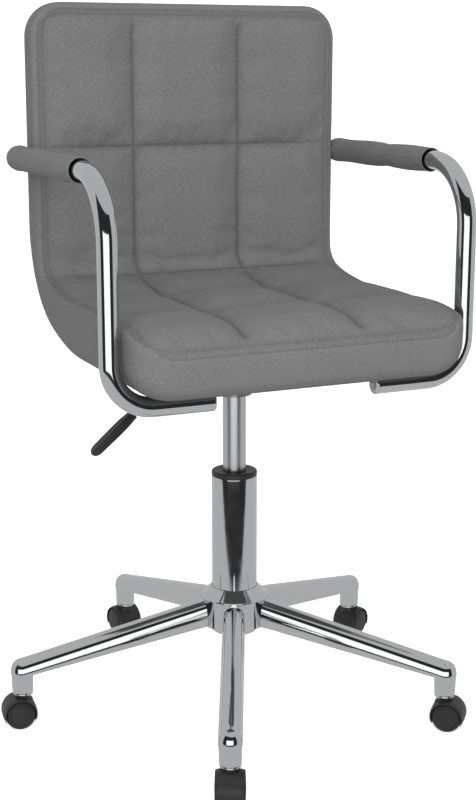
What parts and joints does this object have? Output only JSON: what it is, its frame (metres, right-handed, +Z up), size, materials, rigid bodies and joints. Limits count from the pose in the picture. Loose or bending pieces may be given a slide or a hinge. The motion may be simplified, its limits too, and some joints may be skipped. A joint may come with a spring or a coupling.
{
  "type": "swivel office chair",
  "caption": "Height-adjustable swivel chair with a padded one-piece seat and back, bent tube arms, gas lift and a star base on twin-wheel casters.",
  "frame": {"origin": "middle of the footprint at floor level; the column axis stands at x 14 mm, y -9.4 mm", "axes": "+Z up, the sitter faces -Y, +X is the sitter's left"},
  "size_m": [0.5562, 0.5617, 0.849],
  "materials": {
    "chrome": "bright chromium plate on steel tube and pressings",
    "piston_chrome": "ground and chromed gas spring cylinder",
    "steel": "zinc-plated steel",
    "grey_fabric": "mid-grey woven polyester, quilted",
    "plywood": "bent birch plywood, unfinished",
    "black_plastic": "black moulded polypropylene, fine satin",
    "wheel_plastic": "black moulded nylon"
  },
  "bodies": {
    "base": {"base_hub": "chrome", "base_leg_1": "chrome", "base_leg_2": "chrome", "base_leg_3": "chrome", "base_leg_4": "chrome", "base_leg_5": "chrome", "column_tube": "chrome", "column_collar": "black_plastic", "thrust_bearing": "steel"},
    "lift_rod": {"piston_rod": "steel", "rod_clip": "steel"},
    "seat": {"gas_cylinder": "piston_chrome", "mount_plate": "steel", "plate_bolt_1": "steel", "plate_bolt_2": "steel", "plate_bolt_3": "steel", "plate_bolt_4": "steel", "seat_board": "plywood", "upholstery": "grey_fabric", "arm_tube_right": "chrome", "arm_sleeve_right": "grey_fabric", "arm_plug_right": "chrome", "arm_back_bolt_right": "steel", "arm_tube_left": "chrome", "arm_sleeve_left": "grey_fabric", "arm_plug_left": "chrome", "arm_back_bolt_left": "steel", "arm_seat_bolt_right_1": "steel", "arm_seat_bolt_right_2": "steel", "arm_seat_bolt_left_1": "steel", "arm_seat_bolt_left_2": "steel"},
    "lever": {"lever_rod": "steel", "lever_handle": "black_plastic"},
    "release_pin": {"release_pin": "steel"},
    "caster_1": {"caster_stem_1": "steel", "caster_hood_1": "black_plastic", "caster_axle_1": "steel"},
    "wheel_1a": {"caster_wheel_1a": "wheel_plastic"},
    "wheel_1b": {"caster_wheel_1b": "wheel_plastic"},
    "caster_2": {"caster_stem_2": "steel", "caster_hood_2": "black_plastic", "caster_axle_2": "steel"},
    "wheel_2a": {"caster_wheel_2a": "wheel_plastic"},
    "wheel_2b": {"caster_wheel_2b": "wheel_plastic"},
    "caster_3": {"caster_stem_3": "steel", "caster_hood_3": "black_plastic", "caster_axle_3": "steel"},
    "wheel_3a": {"caster_wheel_3a": "wheel_plastic"},
    "wheel_3b": {"caster_wheel_3b": "wheel_plastic"},
    "caster_4": {"caster_stem_4": "steel", "caster_hood_4": "black_plastic", "caster_axle_4": "steel"},
    "wheel_4a": {"caster_wheel_4a": "wheel_plastic"},
    "wheel_4b": {"caster_wheel_4b": "wheel_plastic"},
    "caster_5": {"caster_stem_5": "steel", "caster_hood_5": "black_plastic", "caster_axle_5": "steel"},
    "wheel_5a": {"caster_wheel_5a": "wheel_plastic"},
    "wheel_5b": {"caster_wheel_5b": "wheel_plastic"}
  },
  "joints": [
    {"name": "seat_swivel", "type": "hinge", "parent": "base", "child": "lift_rod", "pos_m": [0.014, -0.0094, 0.3], "axis": [0, 0, 1], "continuous": true},
    {"name": "seat_height", "type": "slide", "parent": "lift_rod", "child": "seat", "axis": [0, 0, 1], "range_m": [-0.09, 0]},
    {"name": "lever_lift", "type": "hinge", "parent": "seat", "child": "lever", "pos_m": [-0.0445, -0.0094, 0.426], "axis": [0, 1, 0], "range_deg": [0, 3.5], "stiffness_Nm_per_rad": 2, "springref_deg": -2.86},
    {"name": "pin_press", "type": "slide", "parent": "seat", "child": "release_pin", "axis": [0, 0, -1], "range_m": [0, 0.0037]},
    {"name": "caster_swivel_1", "type": "hinge", "parent": "base", "child": "caster_1", "pos_m": [-0.09926, -0.25008, 0.04], "axis": [0, 0, 1], "continuous": true},
    {"name": "wheel_roll_1a", "type": "hinge", "parent": "caster_1", "child": "wheel_1a", "pos_m": [-0.10139, -0.25461, 0.018], "axis": [0.9048, -0.4258, 0], "continuous": true},
    {"name": "wheel_roll_1b", "type": "hinge", "parent": "caster_1", "child": "wheel_1b", "pos_m": [-0.10139, -0.25461, 0.018], "axis": [0.9048, -0.4258, 0], "continuous": true},
    {"name": "caster_swivel_2", "type": "hinge", "parent": "base", "child": "caster_2", "pos_m": [0.20791, -0.19149, 0.04], "axis": [0, 0, 1], "continuous": true},
    {"name": "wheel_roll_2a", "type": "hinge", "parent": "caster_2", "child": "wheel_2a", "pos_m": [0.21155, -0.19491, 0.018], "axis": [0.6845, 0.729, 0], "continuous": true},
    {"name": "wheel_roll_2b", "type": "hinge", "parent": "caster_2", "child": "wheel_2b", "pos_m": [0.21155, -0.19491, 0.018], "axis": [0.6845, 0.729, 0], "continuous": true},
    {"name": "caster_swivel_3", "type": "hinge", "parent": "base", "child": "caster_3", "pos_m": [0.2471, 0.11875, 0.04], "axis": [0, 0, 1], "continuous": true},
    {"name": "wheel_roll_3a", "type": "hinge", "parent": "caster_3", "child": "wheel_3a", "pos_m": [0.25148, 0.12115, 0.018], "axis": [-0.4818, 0.8763, 0], "continuous": true},
    {"name": "wheel_roll_3b", "type": "hinge", "parent": "caster_3", "child": "wheel_3b", "pos_m": [0.25148, 0.12115, 0.018], "axis": [-0.4818, 0.8763, 0], "continuous": true},
    {"name": "caster_swivel_4", "type": "hinge", "parent": "base", "child": "caster_4", "pos_m": [-0.03584, 0.25189, 0.04], "axis": [0, 0, 1], "continuous": true},
    {"name": "wheel_roll_4a", "type": "hinge", "parent": "caster_4", "child": "wheel_4a", "pos_m": [-0.03678, 0.2568, 0.018], "axis": [-0.9823, -0.1874, 0], "continuous": true},
    {"name": "wheel_roll_4b", "type": "hinge", "parent": "caster_4", "child": "wheel_4b", "pos_m": [-0.03678, 0.2568, 0.018], "axis": [-0.9823, -0.1874, 0], "continuous": true},
    {"name": "caster_swivel_5", "type": "hinge", "parent": "base", "child": "caster_5", "pos_m": [-0.2499, 0.02394, 0.04], "axis": [0, 0, 1], "continuous": true},
    {"name": "wheel_roll_5a", "type": "hinge", "parent": "caster_5", "child": "wheel_5a", "pos_m": [-0.25486, 0.02457, 0.018], "axis": [-0.1253, -0.9921, 0], "continuous": true},
    {"name": "wheel_roll_5b", "type": "hinge", "parent": "caster_5", "child": "wheel_5b", "pos_m": [-0.25486, 0.02457, 0.018], "axis": [-0.1253, -0.9921, 0], "continuous": true}
  ],
  "couplings": [
    {"joint": "pin_press", "follows": "lever_lift", "m_per_rad": 0.0585}
  ]
}
